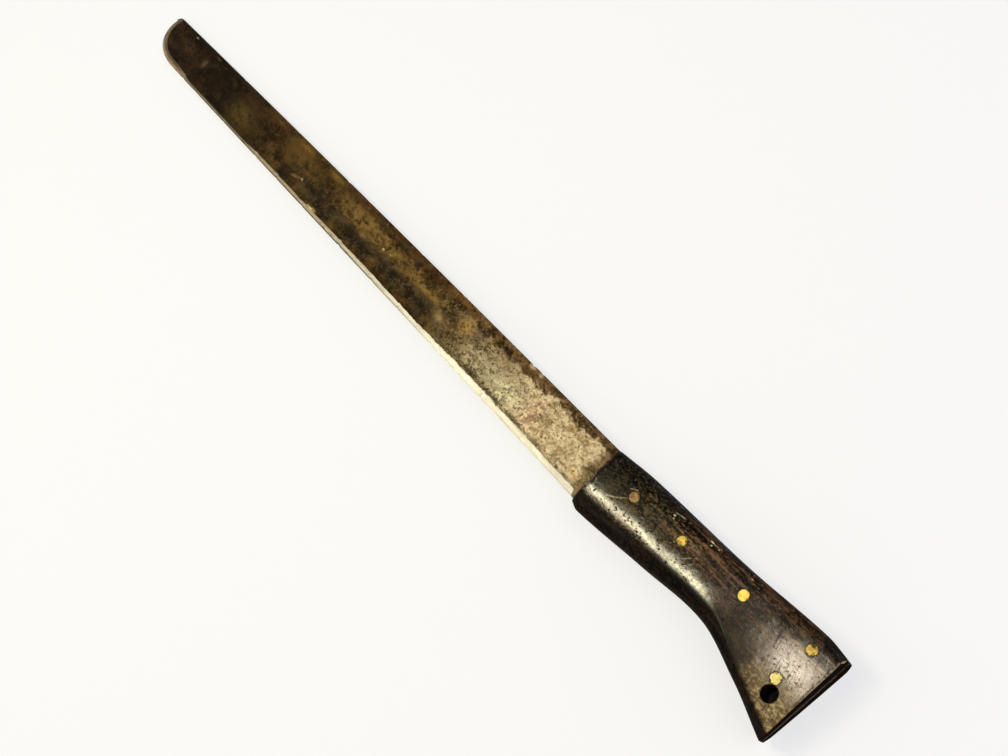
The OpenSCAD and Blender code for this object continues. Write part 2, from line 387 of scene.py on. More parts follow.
def scale_paths(side):
    """Upper and lower paths of a scale's sections, their places, and the lines of its edges."""
    body_steps, round_steps, wall_steps, face_steps = 190, 15, 4, 36
    facet = 15  # degrees, on the rounded ends
    front = front_edge_r * (1 - np.cos(np.radians(np.arange(0, 90, facet))))
    body = np.linspace(front_edge_r, grip_length - butt_edge_r, body_steps)
    butt = grip_length - butt_edge_r * (1 - np.sin(np.radians(np.arange(facet, 91, facet))))
    d = np.concatenate([front, body, butt])[:, None]

    z = face_z(d)
    drawn = quarter_drop(butt_edge_r, grip_length - d)
    low = back_y(d) + drawn + trim
    high = belly_y(d) - drawn - trim
    flat = flatness(d)
    deepest = half_grip - half_tang - least_wall
    depth = np.minimum(mix(deepest, chamfer_depth, flat), z - half_tang - least_wall)
    power = mix(round_power, chamfer_power, flat)
    back = mix(back_round, back_chamfer, flat)
    belly = mix(belly_round, belly_chamfer, flat)
    fuller = power + belly_fuller * ease(1 - np.abs(d - grip_length / 2) / fuller_run)

    a = np.radians(np.linspace(0, 90, round_steps))[None, :]
    reach, belly_reach = [1 - np.cos(a) ** (2 / k) for k in (power, fuller)]
    fall, belly_fall = [-depth * (1 - np.sin(a) ** (2 / k)) for k in (power, fuller)]
    wall = np.linspace(0, 1, wall_steps)[None, :-1]
    across = np.linspace(0, 1, face_steps)[None, 1:-1]
    ones_wall = np.ones_like(wall)

    ys = [low * ones_wall, low + back * reach, mix(low + back, high - belly, across)]
    zs = [mix(half_tang, z + fall[:, :1], wall), z + fall, z * np.ones_like(across)]
    ys += [(high - belly * belly_reach)[:, ::-1], high * ones_wall]
    zs += [(z + belly_fall)[:, ::-1], mix(half_tang, z + fall[:, :1], wall)[:, ::-1]]
    y = np.concatenate(ys, axis=1)
    height = np.concatenate(zs, axis=1)
    x = grip_front - d + lean(d, y, side * height)
    upper = np.stack([x, y, side * height], axis=2)

    share = np.linspace(0, 1, y.shape[1])[None, 1:-1]
    inner_y = mix(low, high, share)
    inner_z = np.full_like(inner_y, side * half_tang)
    inner_x = grip_front - d + lean(d, inner_y, inner_z)
    lower = np.stack([inner_x, inner_y, inner_z], axis=2)
    return upper, lower, d, low, high


# Chips and dents of the near scale: place (x, y), half sizes, depth.
# The far one has them half as deep and shifted
CHIPS = [
    (-10.6, -28.6, 2.6, 1.5, 1.4),
    (-4.5, -27.4, 2.0, 1.0, 0.35),
    (-1.2, -25.4, 1.3, 0.9, 0.3),
    (77.5, -22.4, 1.6, 0.8, 0.35),
    (71.0, -24.0, 2.2, 0.5, 0.4),
    (58.0, -25.0, 1.4, 0.7, 0.35),
    (37.5, -27.0, 1.8, 0.8, 0.4),
    (114.6, -9.0, 1.6, 1.6, 0.4),
    (114.9, -18.0, 1.2, 1.8, 0.35),
]
FAR_SHIFT = [3, 1.5, 0]


def chip_depth(upper):
    """Depth of the chips and dents at a face's points."""
    depth = np.zeros(upper.shape[:2])
    wobble = 0.35 * grain(upper, 1.6, 2, 3)
    for x, y, long, wide, deep in CHIPS:
        away = np.hypot((upper[..., 0] - x) / long, (upper[..., 1] - y) / wide)
        depth = np.maximum(depth, deep * (1 - ease(away + wobble)))
    return depth


def make_scale(name, side):
    """One scale: its skin with chips, wear and a slight crown, then its bores."""
    upper, lower, d, low, high = scale_paths(side)
    top = ease((np.abs(upper[..., 2]) - half_tang) / 2)
    worn = wear_waves * (1 + grain(upper, 14, 3, 5 + side))
    worn = worn + wear_pits * np.abs(grain(upper, 2.2, 3, 9 + side))
    if side > 0:
        worn = worn + chip_depth(upper)
    else:
        worn = worn + 0.5 * chip_depth(upper * [1, 1, -1] + FAR_SHIFT)
    off_x = np.clip(upper[..., 0] - crown_middle[0], -crown_reach, crown_reach) / crown_reach
    off_y = (upper[..., 1] - crown_middle[1]) / crown_reach
    crown = flatness(d) * (crown_y * off_y**2 + crown_x * off_x**2)
    upper[..., 2] -= side * top * (worn + crown)
    marks = {
        "from_back": [path[..., 1] - low for path in (upper, lower)],
        "from_belly": [high - path[..., 1] for path in (upper, lower)],
    }
    made = loft(name, upper, lower, marks)
    cut_bores(made)
    crease(made, 32)
    return made


# Blade


def nose_curve(t):
    """Point and outward direction on the nose, from the spine corner to the straight edge."""
    way = (HEEL - EDGE_END) / np.linalg.norm(HEEL - EDGE_END)
    a = np.array([tip_x, spine_y])
    b = a + [nose_bulge, nose_lift]
    c = EDGE_END - way * (nose_run + nose_corner)
    t = np.asarray(t)[:, None]
    back = 1 - t
    point = back**3 * a + 3 * t * back**2 * b + 3 * t**2 * back * c + t**3 * EDGE_END
    along = back**2 * (b - a) + 2 * t * back * (c - b) + t**2 * (EDGE_END - c)
    along /= np.linalg.norm(along, axis=1)[:, None]
    return point, np.stack([along[:, 1], -along[:, 0]], axis=1)


def dips_along(x, nicks):
    """Depth at x of small nicks along the blade: (place, half length, depth)."""
    total = np.zeros_like(x)
    for at, half, deep in nicks:
        total += deep * (1 - ease(np.abs(x - at) / half))
    return total


EDGE_NICKS = [(443, 1.5, 0.35), (402, 1.2, 0.25), (371, 2.2, 0.3), (352, 1, 0.35)]
EDGE_NICKS += [(329, 1.6, 0.2), (296, 1.3, 0.4), (268, 2.5, 0.2), (247, 1, 0.3)]
EDGE_NICKS += [(221, 1.8, 0.25), (183, 1.1, 0.3), (150, 1.4, 0.2)]
SPINE_NICKS = [(168.9, 1.6, 0.45), (175.2, 2.1, 0.55), (187, 1.1, 0.25), (226, 1.2, 0.25)]
SPINE_NICKS += [(258, 1.8, 0.3), (301, 1.2, 0.25), (318, 2.4, 0.35), (362, 1.3, 0.2)]
SPINE_NICKS += [(411, 1.9, 0.3), (449, 1.2, 0.2)]


def blade_lines():
    """Spine, inner line of the bevel and edge, from the heel to the tip."""
    straight_steps, nose_steps, corner_steps = 560, 34, 12
    t = np.linspace(0, 1, straight_steps, endpoint=False)
    corner_start = tip_x - spine_corner
    nose_x = mix(nose_start, corner_start, np.linspace(0, 1, nose_steps))
    spine_x = np.concatenate([mix(grip_front, nose_start, t), nose_x])
    s = (spine_x - grip_front) / blade_length
    spine = np.stack([spine_x, spine_y - 4 * spine_bow * s * (1 - s)], axis=1)
    last_t = 0.1
    inset = [0.05, 0.1]
    nose_end = nose_curve([last_t])[0][0] - inset
    c = np.linspace(0, 1, corner_steps + 1)[1:, None]
    square = np.array([tip_x, spine_y])
    corner = (1 - c) ** 2 * spine[-1] + 2 * c * (1 - c) * square + c**2 * nose_end
    spine = np.concatenate([spine, corner])

    straight = HEEL + (EDGE_END - HEEL) * t[:, None]
    way = (EDGE_END - HEEL) / np.linalg.norm(EDGE_END - HEEL)
    outward = np.tile([-way[1], way[0]], (straight_steps, 1))
    nose_t = np.linspace(1, last_t, nose_steps + corner_steps)
    nose, nose_out = nose_curve(nose_t)
    edge = np.concatenate([straight, nose])
    out = np.concatenate([outward, nose_out])

    x = edge[:, 0]
    sweep = ease((x - grip_front - heel_flat) / bevel_sweep)
    ragged = np.array([noise.fractal(Vector((v / 9, 2.5, 0)), 1.0, 2.0, 4) for v in x])
    slow = np.array([noise.noise(Vector((v / 60, 7.5, 0))) for v in x])
    width = bevel_at_heel
    for start, run, after in BEVEL_CHANGES:
        width = mix(width, after, ease((x - start) / run))
    width = width * sweep * (1 + 0.1 * slow + 0.13 * ragged)
    width = np.minimum(width, 0.8 * np.linalg.norm(edge - spine, axis=1))
    edge -= out * (dips_along(x, EDGE_NICKS) * sweep + trim)[:, None]
    spine[:, 1] += dips_along(spine[:, 0], SPINE_NICKS)
    inner = edge - out * width[:, None]
    return spine, inner, edge


def tang_lines():
    """The same lines along the tang, from the butt to the heel; it has no bevel."""
    sections = 90
    d = np.linspace(grip_length - tang_inset, tang_start, sections)
    low = back_y(d) + tang_inset
    high = belly_y(d) - tang_inset
    spine = np.stack([grip_front - d + lean(d, low, 0), low], axis=1)
    edge = np.stack([grip_front - d + lean(d, high, 0), high], axis=1)
    return spine, edge, edge


def make_blade():
    """The blade and its tang as one forging."""
    spine, inner, edge = [np.concatenate(pair) for pair in zip(tang_lines(), blade_lines())]
    half = mix(half_tang, nose_half, np.clip((edge[:, 0] - grip_front) / blade_length, 0, 1))
    flat_steps, bevel_steps, corner_steps = 42, 6, 4

    def path(a, b, steps):
        """Points from a, which is left out, to b."""
        w = np.linspace(0, 1, steps + 1)[None, 1:, None]
        return a[:, None, :] * (1 - w) + b[:, None, :] * w

    corner = 0.35
    across = inner - spine
    across /= np.maximum(np.linalg.norm(across, axis=1), 1e-6)[:, None]
    angles = np.radians(np.linspace(0, 90, corner_steps + 1))
    rows = [spine] + [spine + across * (corner * (1 - math.cos(a))) for a in angles]
    flat = [row[:, None, :] for row in rows]
    flat += [path(spine + across * corner, inner, flat_steps)]
    flat += [path(inner, edge, bevel_steps), edge[:, None, :]]
    flat = np.concatenate(flat, axis=1)
    level = np.zeros_like(half)
    heights = [level] + [half - corner * (1 - math.sin(a)) for a in angles] + [half] * flat_steps
    heights += [mix(half, edge_half, k / bevel_steps) for k in range(1, bevel_steps + 1)]
    z = np.stack(heights + [level], axis=1)
    upper = np.concatenate([flat, z[..., None]], axis=2)

    line = flat.shape[1] - bevel_steps - 2  # the row that follows the bevel's inner line
    bevel = np.zeros(flat.shape[:2])
    bevel[:, :line] = -np.linalg.norm(flat[:, :line] - inner[:, None, :], axis=2)
    bevel[:, line + 1 :] = [min(k / bevel_steps, 1) for k in range(1, bevel_steps + 2)]

    def wear(points, seed):
        """Depth of waves and pits in one face; the pits are deeper near the spine.

        Both fade out over a millimetre to the bevel and the spine.
        """
        waves = 0.05 * (1 + grain(points, 45, 2, seed))
        near_spine = 1 - ease((points[..., 1] - spine_y) / 14)
        pits = np.clip(grain(points, 3.2, 4, seed + 1) - 0.18, 0, 1) * (0.12 + 0.25 * near_spine)
        inside = ease(-bevel) * ease(points[..., 1] - spine[:, None, 1])
        return inside * (waves + pits)

    lower = upper[:, 1:-1] * [1, 1, -1]
    upper[..., 2] -= wear(upper, 21) * (upper[..., 2] > 0)
    far = np.concatenate([upper[:, :1], lower, upper[:, -1:]], axis=1)
    lower[..., 2] += wear(far, 31)[:, 1:-1]
    marks = {"bevel": (bevel, bevel[:, 1:-1])}
    made = loft("forged_blade", upper, lower, marks, 1, bevel_steps + 1)
    cut_bores(made)
    crease(made, 13)
    return made


def make_rivet(node, dome, wobble, seed):
    """A rivet: shank, cones and hammered heads, slightly domed."""
    centre, head_r, top = rivet_facts(node)
    rim, under_rim = 0.18, 0.12
    half = [(shank_r, top - flare_depth), (head_r, top - rim - under_rim)]
    for share, height in [(0.97, 0.05), (0.8, 0.45), (0.55, 0.75), (0.28, 0.95)]:
        half.append((head_r * share, top - rim + dome * rim * height))
    half.append((0, half[-1][1]))
    made = make_object(f"brass_{node}", *turned(centre, half, 56, wobble, seed))
    crease(made, 40)
    return made


# Shader maths: a value in a material, on which arithmetic adds Math nodes


class Wire:
    def __init__(self, nodes, socket):
        self.nodes = nodes
        self.socket = socket

    def math(self, operation, other=0.0, swap=False):
        first, second = (other, self) if swap else (self, other)
        return self.nodes.add("ShaderNodeMath", {"operation": operation}, {0: first, 1: second})

    def __add__(self, other):
        return self.math("ADD", other)

    def __sub__(self, other):
        return self.math("SUBTRACT", other)

    def __mul__(self, other):
        return self.math("MULTIPLY", other)

    def __pow__(self, other):
        return self.math("POWER", other)

    def __rsub__(self, other):
        return self.math("SUBTRACT", other, swap=True)

    def __abs__(self):
        return self.math("ABSOLUTE")

    __radd__ = __add__
    __rmul__ = __mul__

    def rise(self, low, high):
        """Smooth step from 0 at low to 1 at high."""
        limits = {"Value": self, "From Min": low, "From Max": high}
        return self.nodes.add("ShaderNodeMapRange", {"interpolation_type": "SMOOTHSTEP"}, limits)

    def band(self, low, high, soft):
        """1 between low and high, fading out over soft on both sides."""
        return self.rise(low - soft, low) * (1 - self.rise(high, high + soft))


class Nodes:
    """The nodes of a material or of the world, which starts with none."""

    def __init__(self, owner):
        owner.use_nodes = True
        self.tree = owner.node_tree
        self.tree.nodes.clear()

    def add(self, kind, settings=None, inputs=None, output=0):
        """Adds any node: its settings first, then its sockets' values or links."""
        node = self.tree.nodes.new(kind)
        for key, value in (settings or {}).items():
            setattr(node, key, value)
        for key, value in (inputs or {}).items():
            if isinstance(value, Wire):
                self.tree.links.new(value.socket, node.inputs[key])
            else:
                node.inputs[key].default_value = value
        return Wire(self, node.outputs[output]) if len(node.outputs) else node


class Paint(Nodes):
    """A material's nodes. place is the point on the part in millimetres, x, y and z its parts.

    A colour is a wire, or red, green and blue as they are seen, from 0 to 255.
    """

    def __init__(self, name):
        self.material = bpy.data.materials.new(name)
        super().__init__(self.material)
        where = self.add("ShaderNodeTexCoord", output="Object")
        to_mm = {0: where, "Scale": 1 / MM}
        self.place = self.add("ShaderNodeVectorMath", {"operation": "SCALE"}, to_mm)
        split = [self.add("ShaderNodeSeparateXYZ", {}, {0: self.place}, axis) for axis in "XYZ"]
        self.x, self.y, self.z = split
        self.near = self.z.math("GREATER_THAN", 0.0)

    def mark(self, label):
        """A value kept on the mesh's points."""
        return self.add("ShaderNodeAttribute", {"attribute_name": label}, output="Fac")

    def clouds(self, size, detail, rough, stretch, seed, bend=0.0, turn=0.0):
        """Noise about 0, mostly within 0.5, with lumps of that size in millimetres."""
        place = self.place
        if turn:
            about_z = {"rotation_type": "Z_AXIS"}
            place = self.add("ShaderNodeVectorRotate", about_z, {0: place, "Angle": turn})
        sockets = {0: place, 1: stretch, 2: (seed * 31.7, seed * 17.9, seed * 23.3)}
        moved = self.add("ShaderNodeVectorMath", {"operation": "MULTIPLY_ADD"}, sockets)
        sockets = {"Vector": moved, "Scale": 1 / size, "Detail": detail}
        sockets |= {"Roughness": rough, "Distortion": bend}
        return 2 * self.add("ShaderNodeTexNoise", {}, sockets) - 1

    def layer(self, under, over, mask):
        """One colour over another where the mask is 1."""
        under, over = [c if isinstance(c, Wire) else tone(*c) for c in (under, over)]
        return self.add("ShaderNodeMix", {"data_type": "RGBA"}, {0: mask, 6: under, 7: over}, 2)

    def pair(self, under, dark, light, mask):
        """A pair of dark and light colours over another pair."""
        return self.layer(under[0], dark, mask), self.layer(under[1], light, mask)

    def spot(self, x, y, long, wide, wobble, soft):
        """Mask of one blot with its half sizes along X and Y, its rim moved by wobble."""
        dx = (self.x - x) * (1 / long)
        dy = (self.y - y) * (1 / wide)
        away = (dx * dx + dy * dy) ** 0.5
        return 1 - (away + wobble).rise(1 - soft, 1 + soft)

    def line(self, start, end, half, wobble):
        """Mask of a scratch from start to end, in millimetres on the part."""
        run = np.array(end, float) - start
        length = float(np.hypot(*run))
        way_x, way_y = (run / length).tolist()
        dx, dy = self.x - start[0], self.y - start[1]
        along = dx * way_x + dy * way_y
        off = abs(dy * way_x - dx * way_y + wobble)
        return (1 - off.rise(half * 0.4, half * 1.6)) * along.band(0, length, 0.4)

    def bump(self, height, deep):
        """Normal of a surface with that height, which is deep millimetres at 1."""
        return self.add("ShaderNodeBump", {}, {"Height": height, "Distance": deep * MM})

    def finish(self, sockets):
        """Puts the Principled shader on the material."""
        shader = self.add("ShaderNodeBsdfPrincipled", {}, sockets)
        self.add("ShaderNodeOutputMaterial", {}, {"Surface": shader})
        return self.material


def tone(red, green, blue):
    """A colour as it is seen, from 0 to 255, for a colour socket."""
    seen = np.array([red, green, blue]) / 255
    light = np.where(seen <= 0.04045, seen / 12.92, ((seen + 0.055) / 1.055) ** 2.4)
    return (*[float(v) for v in light], 1.0)


def spread(middle):
    """A darker and a lighter tone round a middle colour."""
    return [[min(k * c, 255) for c in middle] for k in (0.6, 1.25)]


# Blots of the blade's patina: place (x, y), half sizes, strength
DARK_BLOTS = [
    (189, -21.6, 5.5, 1.8, 0.85),
    (205, -20.8, 5, 1.8, 0.6),
    (222, -18.5, 5, 3.0, 0.6),
    (240, -19.5, 8, 2.6, 0.5),
    (196, -3.9, 5, 1.5, 0.75),
    (180, -3.0, 6, 1.0, 0.65),
    (163, -2.6, 5, 0.9, 0.55),
    (148, -2.6, 3, 1.0, 0.5),
    (136, -4.2, 3, 1.3, 0.45),
    (169.5, -15.5, 3.0, 2.2, 0.35),
    (204, -17.5, 6, 3, 0.4),
    (226, -15.5, 5, 3, 0.35),
    (173, -4.6, 2.2, 1.4, 0.4),
    (241, -9.2, 9, 2.2, 0.6),
    (326, -11.0, 9, 3.0, 0.5),
    (350, -8.0, 11, 2.6, 0.55),
    (284, -9.3, 4.5, 2.2, 0.65),
    (262, -10.2, 8, 2.0, 0.45),
    (296, -8.8, 5, 2.4, 0.45),
    (424, -15, 12, 8, 0.75),
    (410, -6.2, 5, 1.6, 0.7),
    (456, -9, 9, 2.4, 0.6),
    (436, -24, 14, 2.2, 0.5),
    (371, -8, 7, 2.4, 0.4),
]
# Small marks on the near face: place, half sizes, strength, tone. Most are bright chips; the spot
# on the spine near x 455 and the two near x 340 are painted highlights
FLECKS_AND_GLINTS = [
    (455, -23.8, 0.9, 0.45, 0.75, (150, 134, 106)),
    (473.8, -23.7, 1.7, 2.6, 0.9, (118, 106, 96)),
    (433.5, -23.8, 1.8, 0.6, 0.5, (92, 80, 50)),
    (438.5, -16.6, 1.6, 2.0, 0.6, (100, 84, 62)),
    (343.6, -9.4, 1.6, 0.7, 0.4, (164, 122, 84)),
    (338.8, -10.6, 0.7, 0.4, 0.7, (184, 164, 120)),
    (275, -14.8, 0.6, 0.4, 0.9, (196, 182, 130)),
    (269.8, -15.2, 0.5, 0.35, 0.6, (180, 160, 110)),
    (174.5, -25.0, 1.6, 0.9, 0.8, (206, 184, 142)),
    (168.6, -24.7, 1.2, 0.8, 0.7, (196, 170, 130)),
]
# Paler or browner areas of the near face: place, half sizes, strength, their middle colour
PALE_AREAS = [
    (455, -17, 6, 3, 0.5, (74, 54, 38)),
    (396, -11.5, 10, 6, 0.5625, (92, 74, 40)),
    (372, -23.8, 5, 1.4, 0.4, (112, 86, 46)),
    (322.6, -3.5, 2.7, 0.9, 1, (216, 184, 124)),
    (324, -23.4, 5, 1.5, 0.55, (140, 110, 50)),
    (350, -23.4, 8, 2, 0.5, (128, 94, 42)),
    (346, -16.5, 12, 4.5, 0.4375, (104, 80, 42)),
    (289, -12.4, 2.6, 1.3, 0.625, (134, 104, 66)),
    (212.5, -16.8, 5, 3.2, 0.75, (146, 114, 54)),
    (175, -8.5, 9, 4.5, 0.75, (212, 197, 160)),
    (152, -12.5, 8, 3.5, 0.4375, (212, 188, 148)),
    (158.5, -10, 3.2, 7, 0.45, (190, 146, 124)),
    (200, -8, 6, 3, 0.5625, (178, 158, 124)),
    (226, -10.8, 4.4, 2.4, 0.625, (156, 130, 84)),
    (240, -15.5, 5, 2.6, 0.375, (126, 100, 48)),
    (124.5, -4.6, 2.8, 1.8, 0.625, (196, 148, 70)),
]


def steel_finish():
    """Brown patina, paler towards the grip, with a bright ground bevel; some painted shade and
    highlights.

    Bare numbers in the masks are places along the part, distances and softness, in millimetres.
    """
    p = Paint("patinated_steel")
    s = p.y - spine_y
    drift = p.clouds(30, 3, 0.5, (1, 1, 9), 1)
    mottle = p.clouds(9, 6, 0.6, (0.75, 1, 9), 2, 0.5)
    blot = p.clouds(3.4, 5, 0.62, (0.8, 1, 9), 3, 0.5)
    grit = p.clouds(1.5, 3, 0.65, (1, 1, 3), 4)
    speck = p.clouds(1.3, 2, 0.5, (1, 1, 3), 5)
    lay = p.clouds(2.2, 5, 0.65, (0.22, 1, 4), 6)
    hue = p.clouds(12, 4, 0.55, (0.7, 1, 9), 9, 0.6)
    across = p.x + 22 * drift + 12 * mottle

    ground = (34, 24, 10), (90, 68, 34)
    ground = p.pair(ground, (15, 10, 5), (52, 39, 23), across.rise(358, 404))
    ochre = across.band(216, 306, 14) * (s + 5 * mottle).band(4.5, 14, 2.5)
    ground = p.pair(ground, (48, 34, 14), (134, 106, 56), ochre)
    slate = across.band(228, 338, 10) * (s + 6 * mottle).band(13.5, 18, 2)
    ground = p.pair(ground, (30, 24, 15), (78, 64, 42), 0.85 * slate)
    rust = (1 - (s + 5 * mottle).rise(3.2, 6)) * across.band(226, 318, 12)
    ground = p.pair(ground, (36, 23, 11), (84, 58, 32), 0.85 * rust)
    # Paler towards the grip, palest and creamy nearest it.
    worn = 1 - (p.x + 14 * mottle + 8 * blot).rise(196, 240)
    ground = p.pair(ground, (74, 58, 34), (158, 138, 102), worn)
    cream = 1 - (p.x + 16 * mottle + 8 * blot).rise(168, 192)
    ground = p.pair(ground, (140, 116, 80), (220, 202, 166), cream)
    cool = 0.75 * worn * p.spot(188, -10, 15, 7, 1.4 * mottle, 0.6)
    ground = p.pair(ground, (108, 96, 72), (190, 178, 146), cool)
    spine_band = 1 - (s + 5 * blot + 4 * mottle - 1.4 * p.x.band(166, 214, 8)).rise(2.8, 5.2)
    spine_band = spine_band * (1 - p.x.rise(228, 240))
    ground = p.pair(ground, (40, 26, 10), (114, 84, 44), 0.95 * spine_band)
    # Brown heel patina, darkened beside the grip's front by a painted shadow of the grip.
    heel_patina_and_shadow = (1 - (p.x + 5 * blot).rise(120, 125.5)) * p.near
    ground = p.pair(ground, (48, 35, 18), (120, 94, 58), 0.85 * heel_patina_and_shadow)
    for x, y, long, wide, strength, middle in PALE_AREAS:
        area = strength * p.spot(x, y, long, wide, grit + 1.5 * blot + 1.3 * mottle, 0.7) * p.near
        ground = p.pair(ground, *spread(middle), area)
    weave = 1.1 * mottle + 1.1 * blot + (0.7 + 0.9 * worn - 0.5 * cream) * grit + 0.4 * lay
    colour = p.layer(*ground, weave.rise(-0.6, 0.62))
    tint = 0.28 * (1 - 0.35 * worn)
    colour = p.layer(colour, (104, 66, 44), tint * hue.rise(0.1, 0.5))
    colour = p.layer(colour, (94, 84, 42), tint * (0 - hue).rise(0.1, 0.5))

    for x, y, long, wide, strength in DARK_BLOTS:
        blotted = strength * p.spot(x, y, long, wide, 1.7 * blot + 0.7 * grit, 0.7)
        colour = p.layer(colour, (26, 19, 10), blotted)
    # Chips, and painted highlights, from the table above.
    for x, y, long, wide, strength, shade in FLECKS_AND_GLINTS:
        fleck = strength * p.spot(x, y, long, wide, 0.9 * grit + 0.4 * blot, 0.7) * p.near
        colour = p.layer(colour, shade, fleck)
    # Painted highlight: a pale tan wisp across the face near x 340.
    wisp_highlight = p.line((345.6, -8.6), (338.6, -10.9), 0.6, 0.6 * grit + 0.5 * blot) * p.near
    colour = p.layer(colour, (132, 102, 64), 0.5 * wisp_highlight * (0.7 + 1.5 * grit))
    edge = p.mark("bevel")
    ragged = (edge + 3.4 * blot + 2.0 * grit).band(-1.0, 0.1, 0.5) * p.x.band(128, 214, 8)
    ragged = ragged * (blot + 0.8 * grit + 0.6 * mottle).rise(-0.05, 0.2) * (1 - edge.rise(0, 0.1))
    colour = p.layer(colour, (50, 37, 19), 0.75 * ragged)
    shadow = 1 - p.x.rise(116, 118.5)
    colour = p.layer(colour, (30, 21, 11), 0.92 * shadow)
    dots = (speck + 0.4 * blot).rise(0.24 - 0.06 * worn, 0.42 - 0.06 * worn)
    colour = p.layer(colour, (36, 26, 14), (0.4 + 0.3 * worn) * dots)
    glints = (0.1 + 0.22 * worn) * (0 - speck - 0.6 * grit).rise(0.28, 0.46)
    colour = p.layer(colour, (216, 198, 156), glints * (1 - across.rise(300, 380)))

    rugged = 0.3 * grit * (0.4 + p.x.band(116, 232, 20))
    bevel = (edge + rugged).rise(-0.1, 0.12) * p.x.rise(117, 118)
    honed = p.layer((224, 217, 194), (160, 146, 116), p.x.rise(220, 340))
    draw = p.clouds(0.5, 3, 0.6, (0.05, 1, 1), 7)
    honed = p.layer(honed, (130, 114, 86), 0.4 * (draw + 0.4 * grit).rise(-0.05, 0.5))
    stains = 0.7 * (blot + 0.7 * grit).rise(0.12, 0.4) * p.x.rise(250, 310)
    honed = p.layer(honed, (70, 56, 36), stains)
    outer = (0.15 + 0.7 * p.x.rise(206, 300)) * edge.rise(0.6, 0.84)
    honed = p.layer(honed, (52, 44, 31), outer * (1 - p.x.rise(440, 450)))
    dull = p.x.band(380, 438, 8)
    gleam = (edge + 0.3 * blot).band(0.5, 0.66, 0.12)
    honed = p.layer(honed, (46, 36, 22), 0.9 * dull * (1 - gleam))
    corner = p.x.rise(438, 452)
    honed = p.layer(honed, (84, 68, 48), 0.9 * corner)
    rim = (edge + 0.25 * blot).rise(0.3, 0.75) * (1 - 0.5 * (blot + grit).rise(-0.1, 0.4))
    honed = p.layer(honed, (176, 154, 122), 0.8 * corner * rim)
    end = (p.x + 1.5 * blot).rise(464, 470) * (1 - (p.y + 2 * blot).rise(-12, -8))
    honed = p.layer(honed, (118, 102, 90), 0.85 * end)
    bright = bevel * (1 - 0.6 * dull) * (1 - 0.7 * corner)
    colour = p.layer(colour, honed, bevel)
    # Painted shade: the steel end of the tang at the butt, between the scales, darkened to near
    # black.
    tang_end_shade = 1 - p.x.rise(-8, -7)
    colour = p.layer(colour, (20, 14, 9), 0.9 * tang_end_shade)
    flat = (1 - p.x.rise(118.4, 119.4)) * p.y.rise(-1.6, -0.6)
    colour = p.layer(colour, (150, 132, 106), 0.8 * flat * (1 - shadow))

    shine = worn * (1 - spine_band) * (1 - 0.8 * dots)
    metal = 0.1 + 0.3 * shine + 0.5 * bright
    rough = 0.5 + 0.3 * mottle + 0.2 * grit - 0.06 * shine - 0.1 * bright
    fine = p.clouds(0.6, 3, 0.6, (1, 1, 1), 8)
    height = 0.9 * blot + 0.8 * grit + 0.5 * fine - 0.8 * dots + 0.2 * draw
    normal = p.bump(height * (1 - 0.7 * bright), 0.14)
    sockets = {"Base Color": colour, "Metallic": metal, "Roughness": rough, "Normal": normal}
    return p.finish(sockets | {"Specular IOR Level": 0.03})


# Small marks of the near scale: place (x, y), half sizes, strength, tone
HORN_FLECKS = [
    (-11.3, -28.3, 0.8, 0.9, 1, (196, 170, 116)),
    (77, -22.6, 0.5, 0.35, 1, (214, 206, 176)),
    (76.2, -21.4, 0.4, 0.3, 1, (190, 178, 150)),
    (58.3, -25.6, 0.9, 0.25, 1, (220, 206, 176)),
    (57.4, -24.3, 0.35, 0.3, 1, (214, 190, 120)),
    (54, -25.2, 0.4, 0.3, 1, (190, 150, 90)),
    (36, -26.2, 0.7, 0.2, 1, (190, 160, 110)),
    (108.5, -8.5, 0.35, 0.2, 1, (200, 196, 170)),
    (103.5, -5.5, 0.5, 0.2, 1, (170, 166, 140)),
]
# Scuffed areas of the near scale, the first two a painted sheen beside the grip's glossy streak,
# towards the back: place, half sizes, strength, their middle colour
SCUFFS_AND_SHEEN = [
    (106.3, -11.6, 3.2, 2.2, 0.8, (86, 78, 56)),
    (95, -10.3, 9, 2.2, 0.7, (88, 80, 56)),
    (76, -16.4, 5, 1.4, 0.7, (98, 80, 56)),
    (60, -18.5, 6, 1.4, 0.6, (104, 82, 58)),
]
SCRATCHES = [
    ((104.9, -8.6), (99, -12.3), 0.26),
    ((100.5, -11.2), (97.2, -14), 0.24),
    ((99.4, -17.4), (96, -19.2), 0.2),
    ((78, -23.8), (73, -24.6), 0.2),
    ((63, -11.2), (57.5, -16.8), 0.18),
    ((60, -10), (56.6, -14.5), 0.16),
    ((57, -25.6), (53, -26), 0.18),
    ((70, -13.5), (67.2, -18.5), 0.14),
    ((-8.6, -21.5), (-10.9, -15.5), 0.14),
    ((-5.5, -25.5), (-8.6, -21.8), 0.12),
    ((6.5, -19.6), (3.2, -16.8), 0.12),
]


